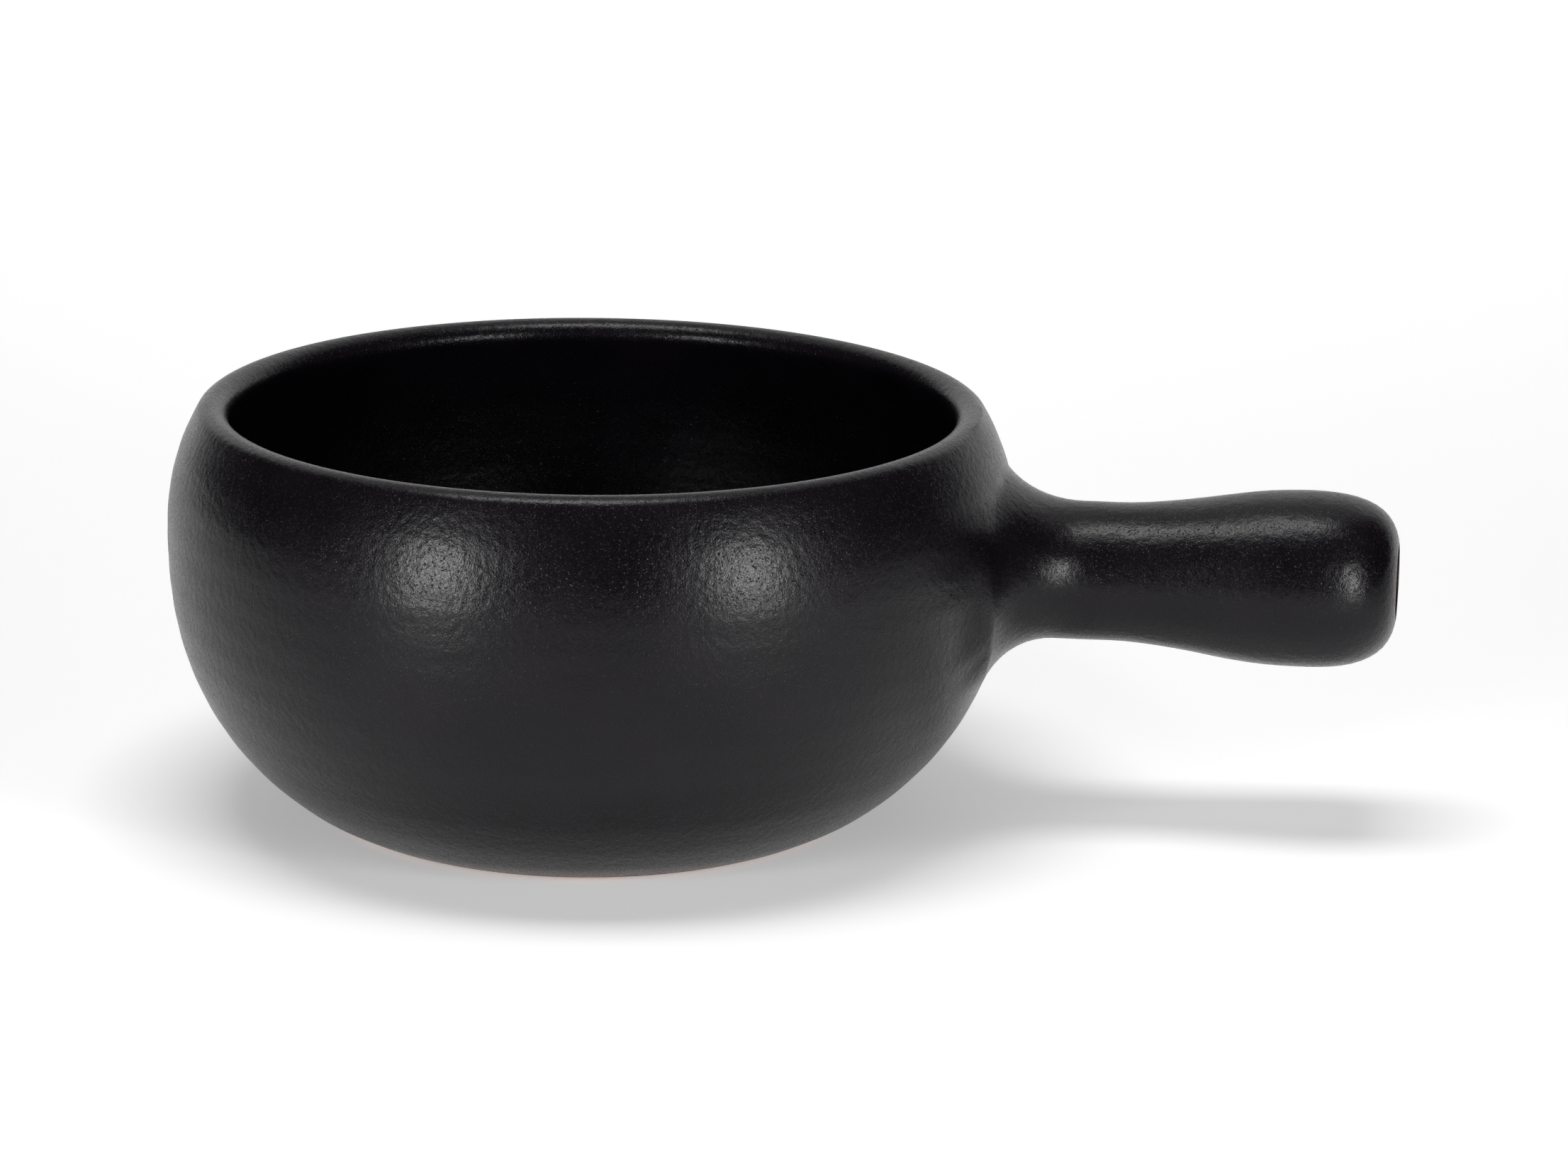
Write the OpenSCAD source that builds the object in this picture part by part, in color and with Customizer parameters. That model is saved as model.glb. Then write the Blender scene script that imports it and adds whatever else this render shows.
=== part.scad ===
// Fondue pot: a thrown earthenware bowl with one hollow side handle, glazed black inside and out.
// Sizes are in millimetres. Z is the bowl's axis, z = 0 is the table and the handle points along +X.

/* [Bowl] */
// Widest diameter of the clay
belly_d = 218.8; // [206:0.2:260]
// Height of the widest line above the table
belly_h = 76.5; // [66:0.5:84]
// Height of the clay rim's crest above the table
bowl_h = 107; // [100:0.5:130]
// Diameter of the rim's crest line
mouth_d = 196.6; // [176:0.2:204]
// Diameter of the flat foot
foot_d = 136; // [110:1:160]
// Thickness of the wall
wall = 7.6; // [6:0.1:10]
// Thickness of the floor
floor_t = 7; // [5:0.1:12]
// Fullness of the curve below the widest line, where 2 is a plain ellipse
fullness = 2.4; // [2.1:0.05:2.8]

/* [Handle] */
// Height of the handle's axis above the table
handle_h = 66.8; // [60:0.2:72]
// Reach of the handle beyond the bowl's widest line
handle_reach = 100; // [80:1:150]
// Diameter of the clay at the neck
neck_d = 34.6; // [30:0.2:38]
// Distance of the neck from the bowl's widest line
neck_at = 27; // [20:0.5:36]
// Largest diameter of the clay, near the end
knob_d = 44.3; // [40:0.1:54]
// Distance of the largest diameter back from the end
knob_back = 25; // [18:0.5:34]
// Squareness of the rounded end, where 2 is a plain ellipse
end_square = 3; // [2.4:0.1:4]
// Thickness of the handle's wall
handle_wall = 5; // [4.2:0.1:7]
// Diameter of the vent mouth
vent_d = 18; // [12:0.5:20]
// Length of the vent mouth
vent_len = 6; // [4:0.5:9]
// Width of the bare ring round the vent mouth
vent_ring = 1.2; // [0.8:0.1:2.5]

/* [Joint] */
// Radius of the collar's hollow curve
collar_r = 20; // [17:0.5:24]
// Reach of the collar beyond the bowl's widest line
collar_reach = 11; // [9:0.5:13]
// Depth of the seat that is shaved off the neck for the collar
collar_seat = 1.5; // [1:0.1:2]
// Thickness of the joining slip
slip_t = 0.8; // [0.5:0.1:1.2]

/* [Glaze] */
// Thickness of the outer glaze
outer_glaze_t = 0.6; // [0.4:0.05:1]
// Thickness of the inner glaze
inner_glaze_t = 0.6; // [0.4:0.05:1]
// Height above the table where the outer glaze stops
glaze_line = 1.2; // [0.6:0.1:3]

/* [Hidden] */
$fn = 128;

low_steps = 24;
shoulder_steps = 8;
lip_steps = 6;
sweep_steps = 14;
end_steps = 12;
flare_steps = 10;
flare_sweep = 60;

belly_r = belly_d / 2;
foot_r = foot_d / 2;
lip_r = wall / 2;

// How far a cutting block runs past the face that it cuts
past = wall;

// Bowl: depth below the widest line where the lower curve would close on the axis
low_depth = belly_h / pow(1 - pow(foot_r / belly_r, fullness), 1 / fullness);

// Bowl: centre of the round lip, and the arc that carries the middle of the wall up to it
crest = [mouth_d / 2, bowl_h - lip_r];
rise = crest[1] - belly_h;
drawn_in = belly_r - lip_r - crest[0];
lean = 2 * atan(drawn_in / rise);
shoulder_r = rise / sin(lean);
shoulder_c = [belly_r - lip_r - shoulder_r, belly_h];

// Handle: stations along its axis, measured from the bowl's axis
root_x = 0.7 * belly_r;
collar_x = belly_r + collar_reach;
neck_x = belly_r + neck_at;
end_x = belly_r + handle_reach;
knob_x = end_x - knob_back;

neck_r = neck_d / 2;
knob_r = knob_d / 2;
vent_r = vent_d / 2;
ring_r = vent_r + vent_ring;
seat_r = neck_r - collar_seat;
end_len = knob_back / end_part(ring_r / knob_r);

clay_color = [0.62, 0.30, 0.19];
slip_color = [0.70, 0.40, 0.28];
glaze_color = [0.05, 0.05, 0.055];

function backwards(path) = [for (i = [len(path) - 1 : -1 : 0]) path[i]];

// How far along the rounded end its radius has shrunk to the given share
function end_part(share) = pow(1 - pow(share, end_square), 1 / end_square);

// Radius of the bowl's lower curve at height z, moved out by t
function low_r(z, t) =
    (belly_r + t) * pow(1 - pow((belly_h - z) / (low_depth + t), fullness), 1 / fullness);

function low_path(z_from, t) = [
    for (i = [0 : low_steps])
        let (z = z_from + (belly_h - z_from) * pow(i / low_steps, 1.2))
        [low_r(z, t), z]
];

function shoulder_path(r) = [
    for (i = [1 : shoulder_steps])
        let (a = lean * i / shoulder_steps)
        shoulder_c + r * [cos(a), sin(a)]
];

function lip_path(r, a_from, a_to) = [
    for (i = [1 : lip_steps])
        let (a = a_from + (a_to - a_from) * i / lip_steps)
        crest + r * [cos(a), sin(a)]
];

// Outside of the bowl from the glaze line to the crest of the lip, moved out by t
function outside(t) = concat(
    low_path(glaze_line, t),
    shoulder_path(shoulder_r + lip_r + t),
    lip_path(lip_r + t, lean, 90)
);

// Inside of the bowl from the floor to the crest of the lip, moved into the hollow by t
function inside(t) = concat(
    low_path(floor_t + t, -wall - t),
    shoulder_path(shoulder_r - lip_r - t),
    lip_path(lip_r + t, 180 + lean, 90)
);

// Outside of the handle from the neck to the vent's ring, moved out by t, as radius and station
function sweep_path(t) = [
    for (i = [0 : sweep_steps])
        let (s = i / sweep_steps)
        [neck_r + t + (knob_r - neck_r) * (1 - cos(180 * s)) / 2, neck_x + (knob_x - neck_x) * s]
];

function end_path(t) = [
    for (i = [1 : end_steps])
        let (e = end_part(ring_r / (knob_r + t)) * sin(90 * i / end_steps))
        [(knob_r + t) * end_part(e), knob_x + (end_len + t) * e]
];

// Hollow curve of the collar from deep inside the bowl's wall to the neck, moved out by t
function flare_path(t) = concat(
    [[neck_r + collar_r - (collar_r - t) * cos(flare_sweep), root_x]],
    [
        for (i = [0 : flare_steps])
            let (a = flare_sweep * (1 - i / flare_steps))
            [neck_r + collar_r - (collar_r - t) * cos(a), collar_x - (collar_r - t) * sin(a)]
    ]
);

// Hollow of the handle from the root to the vent's inner end
hollow = concat(
    [[neck_r - handle_wall, root_x]],
    sweep_path(-handle_wall),
    [[vent_r, end_x - vent_len], [vent_r, end_x]]
);

module turn_on_bowl(path) {
    rotate_extrude()
        polygon(path);
}

module turn_on_handle(path) {
    translate([0, 0, handle_h])
        rotate([0, 90, 0])
            rotate_extrude()
                polygon(path);
}

// The bowl as a full block, moved out by t, with a plug of the crest's size past the rim
module bowl_block(t) {
    turn_on_bowl(concat(
        [[0, 0], [foot_r + t, 0]],
        outside(t),
        [[crest[0], bowl_h + past], [0, bowl_h + past]]
    ));
}

// The collar and handle as a full block, with a plug of the vent ring's size past the end
module handle_block() {
    turn_on_handle(concat(
        [[0, root_x]],
        flare_path(0),
        sweep_path(0),
        end_path(0),
        [[ring_r, end_x + past], [0, end_x + past]]
    ));
}

module bowl() {
    color(clay_color)
        turn_on_bowl(concat([[0, 0], [foot_r, 0]], outside(0), backwards(inside(0)), [[0, floor_t]]));
}

module handle() {
    color(clay_color)
        difference() {
            turn_on_handle(concat(
                [[seat_r, root_x], [seat_r, collar_x], [neck_r, collar_x]],
                sweep_path(0),
                end_path(0),
                backwards(hollow)
            ));
            bowl_block(slip_t);
        }
}

module root_collar() {
    color(clay_color)
        difference() {
            turn_on_handle(concat(flare_path(0), [[seat_r, collar_x], [seat_r, root_x]]));
            bowl_block(slip_t);
        }
}

module joining_slip() {
    color(slip_color)
        intersection() {
            turn_on_bowl(concat(outside(0), backwards(outside(slip_t))));
            turn_on_handle(concat(
                [[neck_r - handle_wall, root_x]],
                flare_path(0),
                [[neck_r - handle_wall, collar_x]]
            ));
        }
}

module inner_glaze() {
    color(glaze_color)
        turn_on_bowl(concat(
            [[0, floor_t]],
            inside(0),
            backwards(inside(inner_glaze_t)),
            [[0, floor_t + inner_glaze_t]]
        ));
}

module outer_glaze() {
    color(glaze_color)
        difference() {
            union() {
                turn_on_bowl(concat(
                    [[0, glaze_line]],
                    outside(outer_glaze_t),
                    [[0, bowl_h + outer_glaze_t]]
                ));
                turn_on_handle(concat(
                    [[0, root_x]],
                    flare_path(outer_glaze_t),
                    sweep_path(outer_glaze_t),
                    end_path(outer_glaze_t),
                    [[0, end_x + outer_glaze_t]]
                ));
            }
            union() {
                bowl_block(0);
                handle_block();
            }
        }
}

bowl();
handle();
root_collar();
joining_slip();
inner_glaze();
outer_glaze();
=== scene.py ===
# A hand-thrown fondue pot in black-glazed red earthenware. Lengths are in metres.
import math

import bmesh
import bpy
from mathutils import Matrix, Vector, noise


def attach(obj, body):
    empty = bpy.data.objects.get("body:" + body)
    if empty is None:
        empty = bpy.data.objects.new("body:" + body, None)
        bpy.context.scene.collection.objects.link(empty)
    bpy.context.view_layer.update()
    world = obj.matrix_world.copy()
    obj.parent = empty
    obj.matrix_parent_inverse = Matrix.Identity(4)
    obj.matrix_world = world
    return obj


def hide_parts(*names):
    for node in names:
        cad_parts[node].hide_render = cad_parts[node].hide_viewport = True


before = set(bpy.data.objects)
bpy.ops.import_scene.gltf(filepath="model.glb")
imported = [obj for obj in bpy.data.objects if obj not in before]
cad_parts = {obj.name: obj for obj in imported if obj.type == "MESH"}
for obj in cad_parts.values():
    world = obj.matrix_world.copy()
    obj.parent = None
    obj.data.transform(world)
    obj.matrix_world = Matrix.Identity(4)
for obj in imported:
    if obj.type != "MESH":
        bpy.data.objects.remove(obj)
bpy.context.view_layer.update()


# Clay bowl. A thick shell of red earthenware, thrown on the wheel and cut off it with a wire,
# so it is never quite true. The glaze covers all of it but the flat foot that it stands on.
belly_r = 0.1094
belly_h = 0.0765
foot_r = 0.068
rim_h = 0.107
crest_r = 0.0983
bowl_wall = 0.0076
bowl_floor = 0.007
fullness = 2.4
closer_low = 1.2
lip_r = bowl_wall / 2
lip_h = rim_h - lip_r
low_depth = belly_h / (1 - (foot_r / belly_r) ** fullness) ** (1 / fullness)
shoulder_lean = 2 * math.atan((belly_r - lip_r - crest_r) / (lip_h - belly_h))
shoulder_r = (lip_h - belly_h) / math.sin(shoulder_lean)
shoulder_axis = belly_r - lip_r - shoulder_r
wiped_edge = 0.004
wiped_share = 0.1

# The hand's errors on the bowl: out of round, lumps, throwing ridges, and a rim that is shifted and slopes
oval = 0.00014
oval_turn = 0.6
three_lobes = 0.0001
lobes_turn = -1.1
wall_lumps = 0.00022
lumps_round = 2.1
lumps_up = 26
ridges = 0.00004
ridge_pitch = 0.0083
rim_shift = 0.0005
rim_slope = 0.0055
slope_from = 0.045
slope_over = 0.062
true_foot = 0.004
foot_blend = 0.003
least_reach = 0.03

# The hand's errors on the handle: lumps, dents and an end that is cut a little aslant
handle_h = 0.0668
handle_from = 0.106
handle_blend = 0.018
handle_lumps = 0.00032
lumps_along = 34
lumps_across = 62
lumps_start = 3
handle_dents = 0.0001
dents_along = 90
dents_across = 110
dents_start = 8
least_spread = 0.004
slant = 0.05
slant_from = 0.187
slant_over = 0.02


def ease(s):
    """Goes smoothly from 0 to 1 as s does."""
    s = min(max(s, 0.0), 1.0)
    return s * s * (3 - 2 * s)


def below_belly(z, t):
    """Radius of the bowl's lower curve at height z, moved out by t."""
    depth = max(belly_h - z, 0) / (low_depth + t)
    return (belly_r + t) * (1 - depth ** fullness) ** (1 / fullness)


def shoulder_ring(r, a):
    """Radius and height on the shoulder's arc of radius r, at angle a above the widest line."""
    return shoulder_axis + r * math.cos(a), belly_h + r * math.sin(a)


def lip_ring(t, a):
    """Radius and height on the round lip, moved out by t, at angle a above the level."""
    return crest_r + (lip_r + t) * math.cos(a), lip_h + (lip_r + t) * math.sin(a)


def outside_rings(z_from, t, low, up, lip):
    """Rings of the bowl's outside as radius and height, from z_from to the crest of the lip.

    They are moved out by t, which thins to nothing at z_from, as a wiped glaze does.
    """
    rings = []
    for i in range(low):
        z = z_from + (belly_h - z_from) * (i / low) ** closer_low
        rings.append((below_belly(z, t * ease(wiped_share + (z - z_from) / wiped_edge)), z))
    for i in range(up):
        rings.append(shoulder_ring(shoulder_r + lip_r + t, shoulder_lean * i / up))
    for i in range(lip + 1):
        rings.append(lip_ring(t, shoulder_lean + (math.pi / 2 - shoulder_lean) * i / lip))
    return rings


def inside_rings(t, low, up, lip, floor):
    """Rings of the bowl's inside, from the crest of the lip to the floor's middle, moved inwards by t."""
    rings = []
    for i in range(1, lip + 1):
        rings.append(lip_ring(t, math.pi / 2 + (math.pi / 2 + shoulder_lean) * i / lip))
    for i in range(1, up + 1):
        rings.append(shoulder_ring(shoulder_r - lip_r - t, shoulder_lean * (1 - i / up)))
    floor_h = bowl_floor + t
    for i in range(1, low + 1):
        z = belly_h + (floor_h - belly_h) * i / low
        rings.append((below_belly(z, -bowl_wall - t), z))
    edge = rings[-1][0]
    for i in range(1, floor):
        rings.append((edge * (1 - i / floor), floor_h))
    return rings


def hand_thrown(p):
    """Where a point of the true shape lies on a pot that was thrown, joined and trimmed by hand."""
    x, y, z = p
    turn = math.atan2(y, x)
    reach = math.hypot(x, y)
    on_handle = ease((x - handle_from) / handle_blend)
    on_bowl = 1 - on_handle
    high = ease((z - slope_from) / slope_over)
    low = ease((true_foot - z) / foot_blend)
    round_lump = Vector((lumps_round * math.cos(turn), lumps_round * math.sin(turn), lumps_up * z))
    swell = oval * math.cos(2 * turn + oval_turn) + three_lobes * math.cos(3 * turn + lobes_turn)
    swell += wall_lumps * noise.noise(round_lump)
    swell += ridges * math.sin(2 * math.pi * z / ridge_pitch + turn)
    grow = 1 + on_bowl * swell * (1 - low) / max(reach, least_reach)
    x = x * grow + rim_shift * high * on_bowl
    y *= grow
    z -= rim_slope * x * high * on_bowl
    if on_handle > 0:
        rise = z - handle_h
        spread = max(math.hypot(y, rise), least_spread)
        lump_at = Vector((lumps_along * x, lumps_across * y, lumps_across * rise + lumps_start))
        dent_at = Vector((dents_along * x, dents_across * y, dents_across * rise + dents_start))
        lump = handle_lumps * noise.noise(lump_at) + handle_dents * noise.noise(dent_at)
        grow = 1 + on_handle * lump / spread
        y *= grow
        z = handle_h + rise * grow
        x += slant * y * ease((x - slant_from) / slant_over)
    return Vector((x, y, z))


def start_ring(name, turns, r, spot, lean=0):
    """Starts a piece as one ring of edges round a spot, leant from level and selected in edit mode."""
    bpy.ops.object.select_all(action="DESELECT")
    bpy.ops.mesh.primitive_circle_add(vertices=turns, radius=r, location=spot, rotation=(0, lean, 0))
    piece = bpy.context.object
    piece.name = piece.data.name = name
    bpy.ops.object.transform_apply(location=True, rotation=True, scale=True)
    bpy.ops.object.mode_set(mode="EDIT")
    bpy.ops.mesh.select_mode(type="EDGE")
    bpy.ops.mesh.select_all(action="SELECT")
    return piece


def draw_rings(rings, axis, centre):
    """Draws the selected ring through radii and distances along an axis, as clay is drawn on a wheel."""
    for (r0, from_here), (r1, to_here) in zip(rings, rings[1:]):
        step = [(to_here - from_here) * a for a in axis]
        grow = [1 if a else r1 / r0 for a in axis]
        bpy.ops.mesh.extrude_edges_move(TRANSFORM_OT_translate={"value": step})
        bpy.ops.transform.resize(value=grow, center_override=centre)


def pick(piece, kind, test):
    """Selects the vertices, edges or faces that the test is true of, and nothing else."""
    bpy.ops.mesh.select_mode(type=kind)
    bpy.ops.mesh.select_all(action="DESELECT")
    shape = bmesh.from_edit_mesh(piece.data)
    items = {"VERT": shape.verts, "EDGE": shape.edges, "FACE": shape.faces}[kind]
    for item in items:
        item.select_set(test(item))
    shape.select_flush_mode()
    bmesh.update_edit_mesh(piece.data)


def unevenness(piece):
    """Gives a finished piece the small unevenness of the hand."""
    for v in piece.data.vertices:
        v.co = hand_thrown(v.co)


same_place = 0.00002


def finish_normals():
    """Merges doubles, turns the faces outwards, leaves edit mode and shades the piece smooth."""
    bpy.ops.mesh.select_all(action="SELECT")
    bpy.ops.mesh.remove_doubles(threshold=same_place)
    bpy.ops.mesh.normals_make_consistent(inside=False)
    bpy.ops.object.mode_set(mode="OBJECT")
    bpy.ops.object.shade_smooth()


foot_middle = [(0.002, 0.0003), (0.012, 0.0003), (0.024, 0.0002), (0.036, 0.0002), (0.047, 0.0001)]
foot_edge = [(0.056, 0), (0.063, 0), (0.0667, 0), (foot_r - 0.0005, 0.0001), (foot_r + 0.0003, 0.0004)]
foot_top = 0.0011
middle_r = 0.003
middle_h = 0.001
bowl_rings = foot_middle + foot_edge + outside_rings(foot_top, 0, low=20, up=6, lip=6)
bowl_rings += inside_rings(0, low=16, up=5, lip=6, floor=6)
bowl_axis = (0, 0, 1)
bowl_middle = (0, 0, 0)
bowl_turns = 120
first_r, first_h = bowl_rings[0]
bowl = start_ring("clay_bowl", bowl_turns, first_r, (0, 0, first_h))
draw_rings(bowl_rings, bowl_axis, bowl_middle)
bpy.ops.mesh.merge(type="CENTER")
pick(bowl, "VERT", lambda v: v.co.z < middle_h and math.hypot(v.co.x, v.co.y) < middle_r)
bpy.ops.mesh.merge(type="CENTER")
finish_normals()
unevenness(bowl)


def nodes_of(name):
    """A new material, its shader, and two helpers: one adds a node, the other feeds a node's inputs."""
    material = bpy.data.materials.new(name)
    material.use_nodes = True
    tree = material.node_tree

    def feed(node, inputs):
        for key, value in inputs.items():
            if isinstance(value, bpy.types.NodeSocket):
                tree.links.new(value, node.inputs[key])
            else:
                node.inputs[key].default_value = value

    def add(kind, inputs, **settings):
        node = tree.nodes.new(kind)
        for key, value in settings.items():
            setattr(node, key, value)
        feed(node, inputs)
        return node

    return material, tree.nodes["Principled BSDF"], add, feed


def two_tones(add, pattern, low, dark, high, light):
    """Colours a grey pattern: dark up to the low level, light from the high one, and a blend between."""
    ramp = add("ShaderNodeValToRGB", {"Fac": pattern})
    dark_stop, light_stop = ramp.color_ramp.elements
    dark_stop.position = low
    dark_stop.color = (*dark, 1)
    light_stop.position = high
    light_stop.color = (*light, 1)
    return ramp.outputs["Color"]


red_clay, shader, add, feed = nodes_of("red_earthenware")
place = add("ShaderNodeTexCoord", {}).outputs["Object"]
cloud = add("ShaderNodeTexNoise", {"Vector": place, "Scale": 55, "Detail": 4})
tone = two_tones(add, cloud.outputs["Fac"], 0.3, (0.19, 0.068, 0.034), 0.72, (0.36, 0.145, 0.075))
grog = add("ShaderNodeTexVoronoi", {"Vector": place, "Scale": 520})
grain = two_tones(add, grog.outputs["Distance"], 0.08, (0.55, 0.55, 0.55), 0.2, (1, 1, 1))
specks = add("ShaderNodeMix", {
    "Factor": 0.8, "A": tone, "B": grain}, data_type="RGBA", blend_type="MULTIPLY")
wire = add("ShaderNodeMapping", {"Vector": place, "Location": (0.05, -0.02, 0)}).outputs["Vector"]
wire_path = {"Vector": wire, "Scale": 95, "Distortion": 3.5, "Detail": 2, "Detail Scale": 1.4}
wire_cut = add("ShaderNodeTexWave", wire_path, wave_type="RINGS", rings_direction="Z")
cut_bump = add("ShaderNodeBump", {
    "Height": wire_cut.outputs["Color"], "Strength": 0.5, "Distance": 0.0003})
sand = add("ShaderNodeTexNoise", {"Vector": place, "Scale": 1500, "Detail": 3})
sand_bump = add("ShaderNodeBump", {
    "Height": sand.outputs["Fac"],
    "Strength": 0.6,
    "Distance": 0.00012,
    "Normal": cut_bump.outputs["Normal"]})
feed(shader, {
    "Base Color": specks.outputs["Result"], "Roughness": 0.88, "Normal": sand_bump.outputs["Normal"]})
bowl.data.materials.append(red_clay)
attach(bowl, "root")
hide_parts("bowl")


# Clay handle. A hollow tube of the same clay, thrown on its own, that swells to a rounded end and is
# left open there, so that air gets out in the kiln. Its bare edge shows as a thin brown ring, and the
# clay deeper inside the vent is painted near black as painted shade.
neck_r = 0.0173
neck_x = 0.1364
knob_r = 0.0223
knob_x = 0.1841
handle_end = 0.2088
end_square = 2.61
end_full = 4
vent_r = 0.009
vent_ring_r = 0.0102
vent_len = 0.006
mouth_edge_r = 0.0098
mouth_edge_rise = 0.0002
mouth_round_r = 0.0093
mouth_round = 0.0006
handle_wall = 0.005
handle_root = 0.1125
collar_x = 0.1204
collar_seat = 0.0015
collar_step = 0.0003
handle_turns = 64


def shrunk_to(share):
    """How far along the rounded end its radius has shrunk to the given share."""
    return (1 - share ** end_full) ** (1 / end_square)


end_reach = (handle_end - knob_x) / shrunk_to(vent_ring_r / knob_r)


def sweep_stations(t, steps):
    """Stations from the neck to the widest place, as radius and distance along, moved out by t."""
    stations = []
    for i in range(steps + 1):
        s = i / steps
        r = neck_r + t + (knob_r - neck_r) * (1 - math.cos(math.pi * s)) / 2
        stations.append((r, neck_x + (knob_x - neck_x) * s))
    return stations


def end_stations(t, steps):
    """Stations of the rounded end from the widest place to the vent's ring, moved out by t."""
    stations = []
    for i in range(1, steps + 1):
        e = shrunk_to(vent_ring_r / (knob_r + t)) * math.sin(math.pi / 2 * i / steps)
        r = (knob_r + t) * (1 - e ** end_square) ** (1 / end_full)
        stations.append((r, knob_x + (end_reach + t) * e))
    return stations


seat_r = neck_r - collar_seat
outer = [(seat_r, handle_root), (seat_r, collar_x), (neck_r, collar_x + collar_step)]
outer += sweep_stations(0, 10) + end_stations(0, 9)
mouth = [(mouth_edge_r, handle_end + mouth_edge_rise), (mouth_round_r, handle_end)]
mouth += [(vent_r, handle_end - mouth_round), (vent_r, handle_end - vent_len)]
hollow = sweep_stations(-handle_wall, 8)[::-1] + [(neck_r - handle_wall, handle_root)]
handle_axis = (1, 0, 0)
handle_middle = (0, 0, handle_h)
handle = start_ring("clay_handle", handle_turns, seat_r, (handle_root, 0, handle_h), math.pi / 2)
draw_rings(outer + mouth + hollow, handle_axis, handle_middle)
pick(handle, "EDGE", lambda e: e.is_boundary)
bpy.ops.mesh.bridge_edge_loops()
finish_normals()
unevenness(handle)

washed_clay_and_vent_shade, shader, add, feed = nodes_of("washed_clay_and_vent_shade")
place = add("ShaderNodeTexCoord", {}).outputs["Object"]
smear = add("ShaderNodeTexNoise", {"Vector": place, "Scale": 260, "Detail": 3})
tone = two_tones(add, smear.outputs["Fac"], 0.35, (0.014, 0.006, 0.004), 0.75, (0.05, 0.016, 0.008))
axes = add("ShaderNodeSeparateXYZ", {"Vector": place})
# Deeper in the vent than its thin brown ring, the clay is painted near black: painted shade in the hollow.
depth = add("ShaderNodeMapRange", {"Value": axes.outputs["X"], "From Min": 0.207, "From Max": 0.2086})
painted_vent_shade = add("ShaderNodeMix", {
    "Factor": depth.outputs["Result"], "A": (0.006, 0.004, 0.0035, 1), "B": tone}, data_type="RGBA")
feed(shader, {"Base Color": painted_vent_shade.outputs["Result"], "Roughness": 0.6, "Specular IOR Level": 0.25})
handle.data.materials.append(washed_clay_and_vent_shade)
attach(handle, "root")
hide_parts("handle")


# Collar and slip. The roll of clay that was worked into the corner round the handle's root, and the
# layer of slip under it. Both are sealed under the glaze, so their solids stay as they are.
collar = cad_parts["root_collar"]
collar.material_slots[0].material = red_clay
slip_clay, shader, add, feed = nodes_of("fired_slip")
place = add("ShaderNodeTexCoord", {}).outputs["Object"]
silt = add("ShaderNodeTexNoise", {"Vector": place, "Scale": 320})
tone = two_tones(add, silt.outputs["Fac"], 0, (0.24, 0.1, 0.055), 1, (0.42, 0.2, 0.12))
feed(shader, {"Base Color": tone, "Roughness": 0.8})
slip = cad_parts["joining_slip"]
slip.material_slots[0].material = slip_clay


# Glaze. One black coat, poured inside and dipped outside, that runs over the rim, down the wall, round
# the collar and along the handle. It is wiped off the foot and the vent's edge, where the clay shows.
glaze_t = 0.0006
glaze_line = 0.0012
skin_t = 0.0005
glaze_rings = outside_rings(glaze_line, glaze_t, low=26, up=7, lip=6)
glaze_rings += inside_rings(glaze_t, low=16, up=5, lip=6, floor=7)
first_r, first_h = glaze_rings[0]
glaze = start_ring("black_glaze", bowl_turns, first_r, (0, 0, first_h))
draw_rings(glaze_rings, bowl_axis, bowl_middle)
bpy.ops.mesh.merge(type="CENTER")

# The collar's hollow curve, which is wider above the handle and longer at its sides
curve_r = 0.02505
curve_above = 0.00565
curve_beside = 0.00165
curve_x = 0.1243
curve_x_above = 0.0039
curve_x_beside = 0.0084
collar_steps = 9
least_sweep = 0.2
most_sweep = 1.25
halvings = 40
neck_start = 0.1346

# The wall round the root: where it is cut out for the collar, and where its mesh is evened out
root_side = 0.08
root_half = 0.05
on_wall = 0.002
cut_past = 0.0016
even_past = 0.016
even_rounds = 6
above_foot = 0.01
root_crease = 0.55


def wall_gap(p):
    """How far a point lies outside the glazed wall of the bowl."""
    if p.z <= belly_h:
        return math.hypot(p.x, p.y) - below_belly(p.z, glaze_t)
    r = shoulder_r + lip_r + glaze_t
    return math.hypot(p.x, p.y) - shoulder_axis - math.sqrt(max(r * r - (p.z - belly_h) ** 2, 0))


def collar_point(turn, sweep):
    """A point of the collar's curve, at a turn round the handle and a sweep from the neck to the wall."""
    up = math.sin(turn)
    side = math.cos(turn) ** 2
    curve = curve_r + curve_above * up + curve_beside * side
    rho = neck_r + glaze_t + curve * (1 - math.cos(sweep))
    x = curve_x + curve_x_above * up + curve_x_beside * side - curve * math.sin(sweep)
    return Vector((x, rho * math.cos(turn), handle_h + rho * math.sin(turn)))


def root_sweep(turn):
    """The sweep at which the collar's curve runs into the wall."""
    near = least_sweep
    far = most_sweep
    for _ in range(halvings):
        middle = (near + far) / 2
        if wall_gap(collar_point(turn, middle)) > 0:
            near = middle
        else:
            far = middle
    return far


def turn_of(p):
    """The turn of a point round the handle."""
    return math.atan2(p.z - handle_h, p.y)


def past_root(p):
    """How far a point of the wall lies outside the line where the collar meets it."""
    root = collar_point(turn_of(p), root_sweep(turn_of(p)))
    return math.hypot(p.y, p.z - handle_h) - math.hypot(root.y, root.z - handle_h)


def in_root(p):
    """Whether a point of the wall is cut out for the collar."""
    near = p.x > root_side and abs(p.y) < root_half and abs(wall_gap(p)) < on_wall
    return near and past_root(p) < cut_past


def open_at_handle(e):
    """Whether an edge is on the open loop that the handle is drawn out of."""
    return e.is_boundary and e.verts[0].co.z > above_foot


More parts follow.
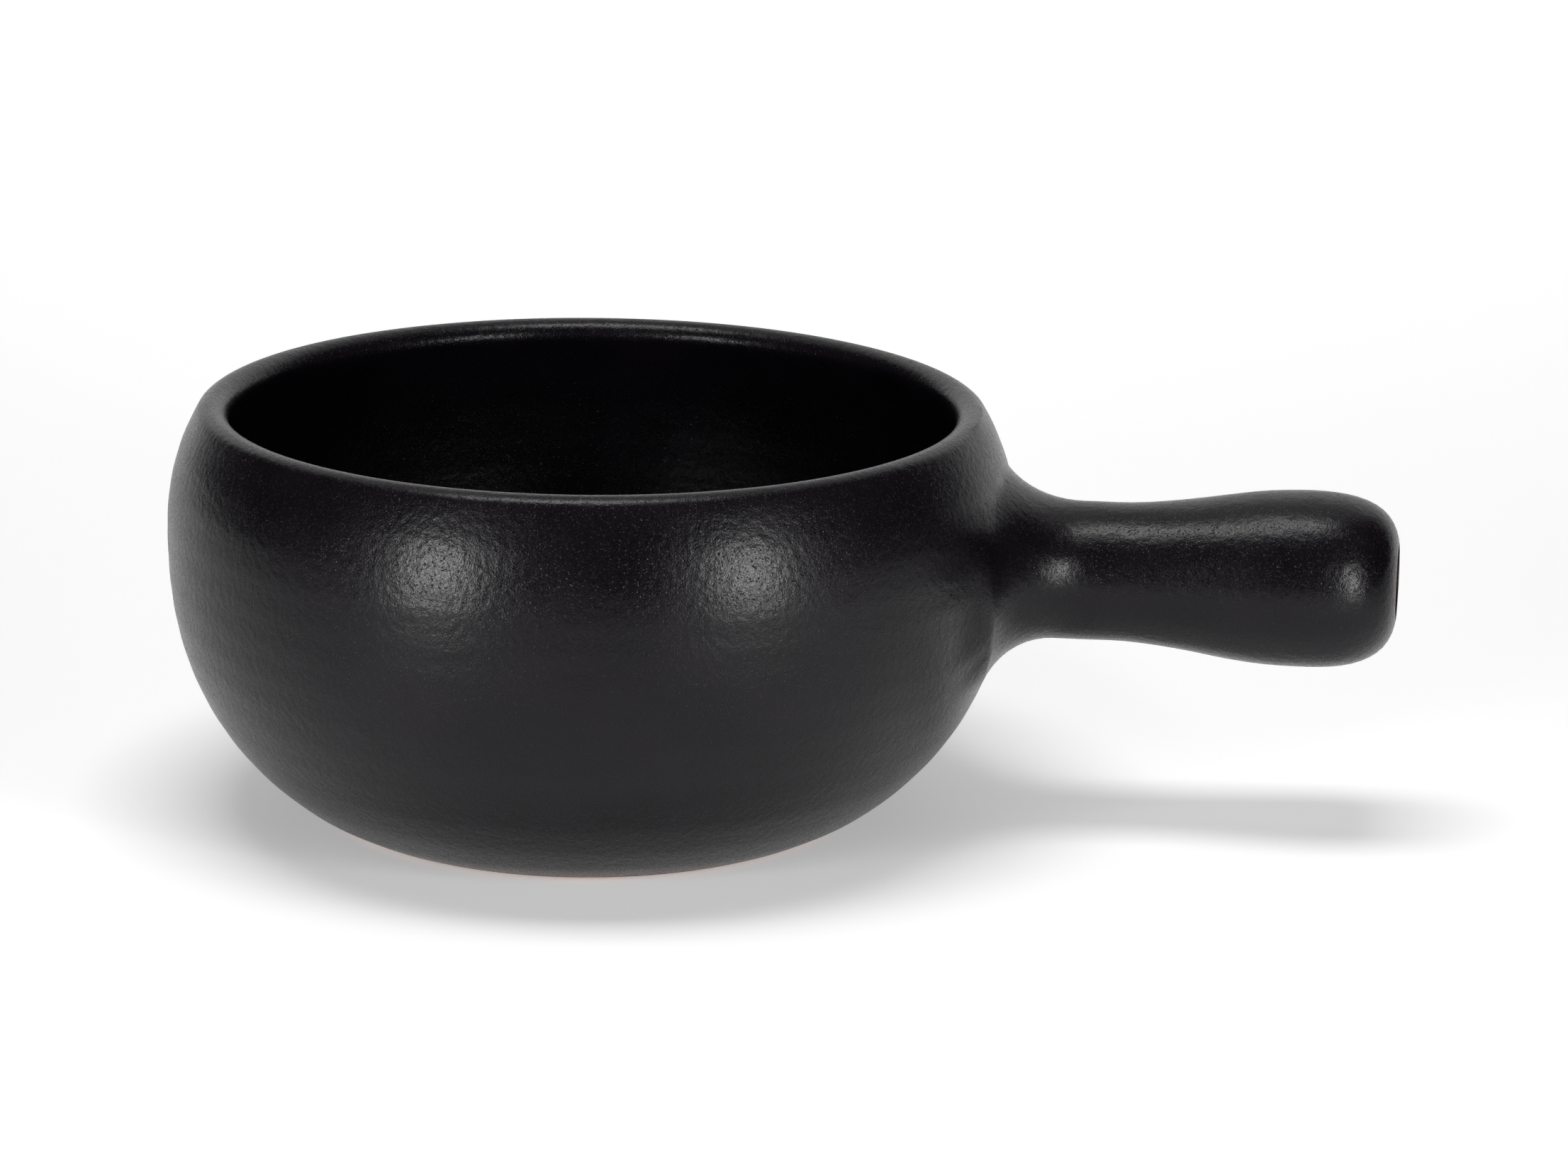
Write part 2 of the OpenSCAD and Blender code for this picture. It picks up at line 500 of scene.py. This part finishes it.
pick(glaze, "FACE", lambda f: any(in_root(v.co) for v in f.verts))
bpy.ops.mesh.delete(type="FACE")
pick(glaze, "EDGE", open_at_handle)
shape = bmesh.from_edit_mesh(glaze.data)
loop = [next(e for e in shape.edges if e.select).verts[0]]
while True:
    ahead = [e.other_vert(loop[-1]) for e in loop[-1].link_edges if e.select]
    ahead = [v for v in ahead if v not in loop]
    if not ahead:
        break
    loop.append(ahead[0])
way = 1 if math.sin(turn_of(loop[1].co) - turn_of(loop[0].co)) > 0 else -1
even_turn = way * 2 * math.pi / len(loop)
drift = [turn_of(v.co) - even_turn * i for i, v in enumerate(loop)]
first_turn = math.atan2(sum(math.sin(d) for d in drift), sum(math.cos(d) for d in drift))
for i, v in enumerate(loop):
    turn = first_turn + even_turn * i
    v.co = collar_point(turn, root_sweep(turn))
bmesh.update_edit_mesh(glaze.data)
root_loop = {v.index for v in loop}


def near_root(v):
    """Whether a vertex of the wall is close enough to the collar to be evened out."""
    beside = v.co.x > root_side and abs(wall_gap(v.co)) < on_wall
    return v.index not in root_loop and beside and past_root(v.co) < even_past


pick(glaze, "VERT", near_root)
for _ in range(even_rounds):
    bpy.ops.mesh.vertices_smooth(factor=0.5, repeat=2)
    shape = bmesh.from_edit_mesh(glaze.data)
    for v in shape.verts:
        if v.select:
            reach = math.hypot(v.co.x, v.co.y)
            true_reach = reach - wall_gap(v.co)
            v.co.x *= true_reach / reach
            v.co.y *= true_reach / reach
    bmesh.update_edit_mesh(glaze.data)


def draw_out(place_at):
    """Draws the selected loop one step along the handle, each vertex to its place by its turn."""
    bpy.ops.mesh.extrude_edges_move(TRANSFORM_OT_translate={"value": (0, 0, 0)})
    shape = bmesh.from_edit_mesh(glaze.data)
    for v in shape.verts:
        if v.select:
            v.co = place_at(turn_of(v.co))
    bmesh.update_edit_mesh(glaze.data)


def round_station(r, x):
    """The places of a round ring of the handle, by their turn."""
    return lambda turn: Vector((x, r * math.cos(turn), handle_h + r * math.sin(turn)))


pick(glaze, "EDGE", open_at_handle)
bpy.ops.transform.edge_crease(value=root_crease)
for k in range(1, collar_steps + 1):
    draw_out(lambda turn: collar_point(turn, root_sweep(turn) * (1 - k / collar_steps)))
glaze_stations = [(neck_r + glaze_t, neck_start)] + sweep_stations(glaze_t, 12) + end_stations(glaze_t, 13)
for r, x in glaze_stations:
    draw_out(round_station(r, x))
finish_normals()
bpy.ops.object.modifier_add(type="SUBSURF")
glaze.modifiers["Subdivision"].levels = 1
glaze.modifiers["Subdivision"].render_levels = 1
bpy.ops.object.modifier_apply(modifier="Subdivision")
unevenness(glaze)
bpy.ops.object.modifier_add(type="SOLIDIFY")
glaze.modifiers["Solidify"].thickness = skin_t
glaze.modifiers["Solidify"].offset = -1
bpy.ops.object.modifier_apply(modifier="Solidify")

black_glaze, shader, add, feed = nodes_of("black_satin_glaze")
place = add("ShaderNodeTexCoord", {}).outputs["Object"]
peel = add("ShaderNodeTexNoise", {"Vector": place, "Scale": 2600, "Detail": 1.5})
peel_bump = add("ShaderNodeBump", {"Height": peel.outputs["Fac"], "Distance": 0.00005})
waves = add("ShaderNodeTexNoise", {"Vector": place, "Scale": 480, "Detail": 2})
wave_bump = add("ShaderNodeBump", {
    "Height": waves.outputs["Fac"], "Distance": 0.00015, "Normal": peel_bump.outputs["Normal"]})


def maths(operation, a, b, use_clamp=False):
    """One step of arithmetic on two values or patterns."""
    step = add("ShaderNodeMath", {0: a, 1: b}, operation=operation, use_clamp=use_clamp)
    return step.outputs["Value"]


def scatter_dots(scale, pinholes, specks, small, large, height, under):
    """Scatters pinholes and raised specks. Gives their bump and how far each place is in a pinhole."""
    dots = add("ShaderNodeTexVoronoi", {"Vector": place, "Scale": scale})
    chance = add("ShaderNodeSeparateColor", {"Color": dots.outputs["Color"]})
    size = add("ShaderNodeMapRange", {"Value": chance.outputs["Green"], "To Min": small, "To Max": large})
    dot = add("ShaderNodeMapRange", {
        "Value": dots.outputs["Distance"], "From Max": size.outputs["Result"], "To Min": 1, "To Max": 0})
    is_hole = maths("LESS_THAN", chance.outputs["Red"], pinholes)
    is_speck = maths("GREATER_THAN", chance.outputs["Red"], 1 - specks)
    hole = maths("MULTIPLY", dot.outputs["Result"], is_hole)
    speck = maths("MULTIPLY", dot.outputs["Result"], is_speck)
    relief = maths("SUBTRACT", speck, hole)
    bump = add("ShaderNodeBump", {"Height": relief, "Distance": height, "Normal": under.outputs["Normal"]})
    return bump, hole


fine_bump, fine_hole = scatter_dots(
    scale=1500, pinholes=0.5, specks=0.3, small=0.15, large=0.45, height=0.00006, under=wave_bump)
coarse_bump, coarse_hole = scatter_dots(
    scale=640, pinholes=0.4, specks=0.15, small=0.08, large=0.24, height=0.0001, under=fine_bump)
pit = maths("MAXIMUM", fine_hole, coarse_hole)
patches = add("ShaderNodeTexNoise", {"Vector": place, "Scale": 48, "Detail": 5}).outputs["Fac"]
satin = add("ShaderNodeMapRange", {
    "Value": patches, "From Min": 0.3, "From Max": 0.7, "To Min": 0.25, "To Max": 0.3})
sand_gloss = add("ShaderNodeMapRange", {
    "Value": peel.outputs["Fac"], "From Min": 0.34, "From Max": 0.66, "To Min": 0.09, "To Max": -0.06})
grainy = maths("ADD", satin.outputs["Result"], sand_gloss.outputs["Result"])
gloss = add("ShaderNodeMix", {"Factor": pit, "A": grainy, "B": 0.55}, data_type="FLOAT")
axes = add("ShaderNodeSeparateXYZ", {"Vector": place})
from_axis = add("ShaderNodeVectorMath", {
    0: place, 1: (0, 1, 1), 2: (0, 0, -handle_h)}, operation="MULTIPLY_ADD")
spread = add("ShaderNodeVectorMath", {0: from_axis.outputs["Vector"]}, operation="LENGTH")
ring_thin = add("ShaderNodeMapRange", {
    "Value": spread.outputs["Value"], "From Min": 0.0122, "From Max": 0.0104})
past_knob = maths("GREATER_THAN", axes.outputs["X"], 0.2)
end_thin = maths("MULTIPLY", ring_thin.outputs["Result"], past_knob)
foot_thin = add("ShaderNodeMapRange", {"Value": axes.outputs["Z"], "From Min": 0.0026, "From Max": 0.0014})
thin = maths("MAXIMUM", end_thin, foot_thin.outputs["Result"], use_clamp=True)
broken = maths("MULTIPLY", thin, patches, use_clamp=True)
black = two_tones(add, patches, 0.3, (0.0022, 0.0014, 0.0026), 0.75, (0.0044, 0.003, 0.0048))
brown = add("ShaderNodeMix", {
    "Factor": broken, "A": black, "B": (0.035, 0.011, 0.006, 1)}, data_type="RGBA")
feed(shader, {
    "Base Color": brown.outputs["Result"],
    "Roughness": gloss.outputs["Result"],
    "Specular IOR Level": 0.235,
    "Normal": coarse_bump.outputs["Normal"]})
glaze.data.materials.append(black_glaze)
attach(glaze, "root")
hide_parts("outer_glaze", "inner_glaze")


# Studio. A plain white table that curves up behind, a soft lamp on each side in front, a wide one overhead
# and one behind, and the camera a step away and a little above, as a product photograph is taken.
table_size = 5
table_y = -0.7
table_h = -0.0002
table_back = 1.7
curve_steps = 12
curve_step = 0.1
back_h = 1.4
bpy.ops.object.select_all(action="DESELECT")
bpy.ops.mesh.primitive_plane_add(size=table_size, location=(0, table_y, table_h))
table = bpy.context.object
table.name = table.data.name = "table"
bpy.ops.object.transform_apply(location=True, rotation=True, scale=True)
bpy.ops.object.mode_set(mode="EDIT")
pick(table, "EDGE", lambda e: all(v.co.y > table_back for v in e.verts))
for k in range(curve_steps):
    slope = math.pi / 2 * (k + 0.5) / curve_steps
    step = (0, curve_step * math.cos(slope), curve_step * math.sin(slope))
    bpy.ops.mesh.extrude_edges_move(TRANSFORM_OT_translate={"value": step})
bpy.ops.mesh.extrude_edges_move(TRANSFORM_OT_translate={"value": (0, 0, back_h)})
bpy.ops.object.mode_set(mode="OBJECT")
bpy.ops.object.shade_smooth()
white_table, shader, add, feed = nodes_of("white_table")
feed(shader, {"Base Color": (0.9, 0.9, 0.9, 1), "Roughness": 0.9, "Specular IOR Level": 0.1})
rays = add("ShaderNodeLightPath", {})
seen = maths("MAXIMUM", rays.outputs["Is Camera Ray"], rays.outputs["Is Glossy Ray"])
shown = maths("MAXIMUM", seen, rays.outputs["Is Transmission Ray"])
place = add("ShaderNodeTexCoord", {}).outputs["Object"]
axes = add("ShaderNodeSeparateXYZ", {"Vector": place})
far_side = add("ShaderNodeMapRange", {
    "Value": axes.outputs["Y"], "From Min": -0.3, "From Max": 1.1, "To Min": 0.16, "To Max": 0.64})
glow = maths("MULTIPLY", shown, far_side.outputs["Result"])
white = add("ShaderNodeEmission", {"Strength": glow})
blend = add("ShaderNodeAddShader", {0: shader.outputs["BSDF"], 1: white.outputs["Emission"]})
surface = next(n for n in white_table.node_tree.nodes if n.type == "OUTPUT_MATERIAL")
feed(surface, {"Surface": blend.outputs["Shader"]})
table.data.materials.append(white_table)

studio = bpy.data.worlds.new("studio")
bpy.context.scene.world = studio
studio.use_nodes = True
studio.node_tree.nodes["Background"].inputs["Color"].default_value = (1, 1, 1, 1)
studio.node_tree.nodes["Background"].inputs["Strength"].default_value = 0.04

camera_turn = Matrix.Rotation(math.radians(6), 3, "Z")


def soft_lamp(name, spot, aim, wide, tall, beam, power):
    """A soft lamp at a place given as the camera sees it: to the right, away from it and up."""
    spot = camera_turn @ Vector(spot)
    aim = camera_turn @ Vector(aim)
    bpy.ops.object.light_add(type="AREA", location=spot)
    lamp = bpy.context.object
    lamp.name = lamp.data.name = name
    lamp.rotation_euler = (spot - aim).to_track_quat("Z", "Y").to_euler()
    lamp.data.shape = "RECTANGLE"
    lamp.data.size = wide
    lamp.data.size_y = tall
    lamp.data.spread = math.radians(beam)
    lamp.data.energy = power


soft_lamp("lamp_left", spot=(-0.375, -0.52, 0.168), aim=(-0.03, -0.08, 0.085),
          wide=0.09, tall=0.325, beam=70, power=0.385)
soft_lamp("lamp_right", spot=(0.432, -0.49, 0.168), aim=(0.03, -0.08, 0.085),
          wide=0.085, tall=0.325, beam=120, power=0.985)
soft_lamp("lamp_overhead", spot=(-0.1, -0.15, 1.6), aim=(-0.1, 0, 0),
          wide=1.0, tall=0.45, beam=180, power=14)
soft_lamp("lamp_back", spot=(0, 1.5, 1.9), aim=(0, 0.2, 0),
          wide=3.2, tall=2.0, beam=180, power=12)

look_down = 0.27
roll = 0.0093
camera_spot = (0.050564, -1.3, 0.4173854)
focal_px = 7271.35
frame_px = 2212
sensor_mm = 36
ahead = camera_turn @ Vector((0, math.cos(look_down), -math.sin(look_down)))
level = camera_turn @ Vector((1, 0, 0))
upward = camera_turn @ Vector((0, math.sin(look_down), math.cos(look_down)))
right = level * math.cos(roll) + upward * math.sin(roll)
top = upward * math.cos(roll) - level * math.sin(roll)
facing = Matrix((right, top, -ahead)).transposed().to_4x4()
bpy.ops.object.camera_add()
camera = bpy.context.object
camera.name = camera.data.name = "camera"
camera.matrix_world = Matrix.Translation(camera_turn @ Vector(camera_spot)) @ facing
camera.data.sensor_width = sensor_mm
camera.data.lens = focal_px / frame_px * sensor_mm
bpy.context.scene.camera = camera
bpy.context.scene.view_settings.view_transform = "Standard"
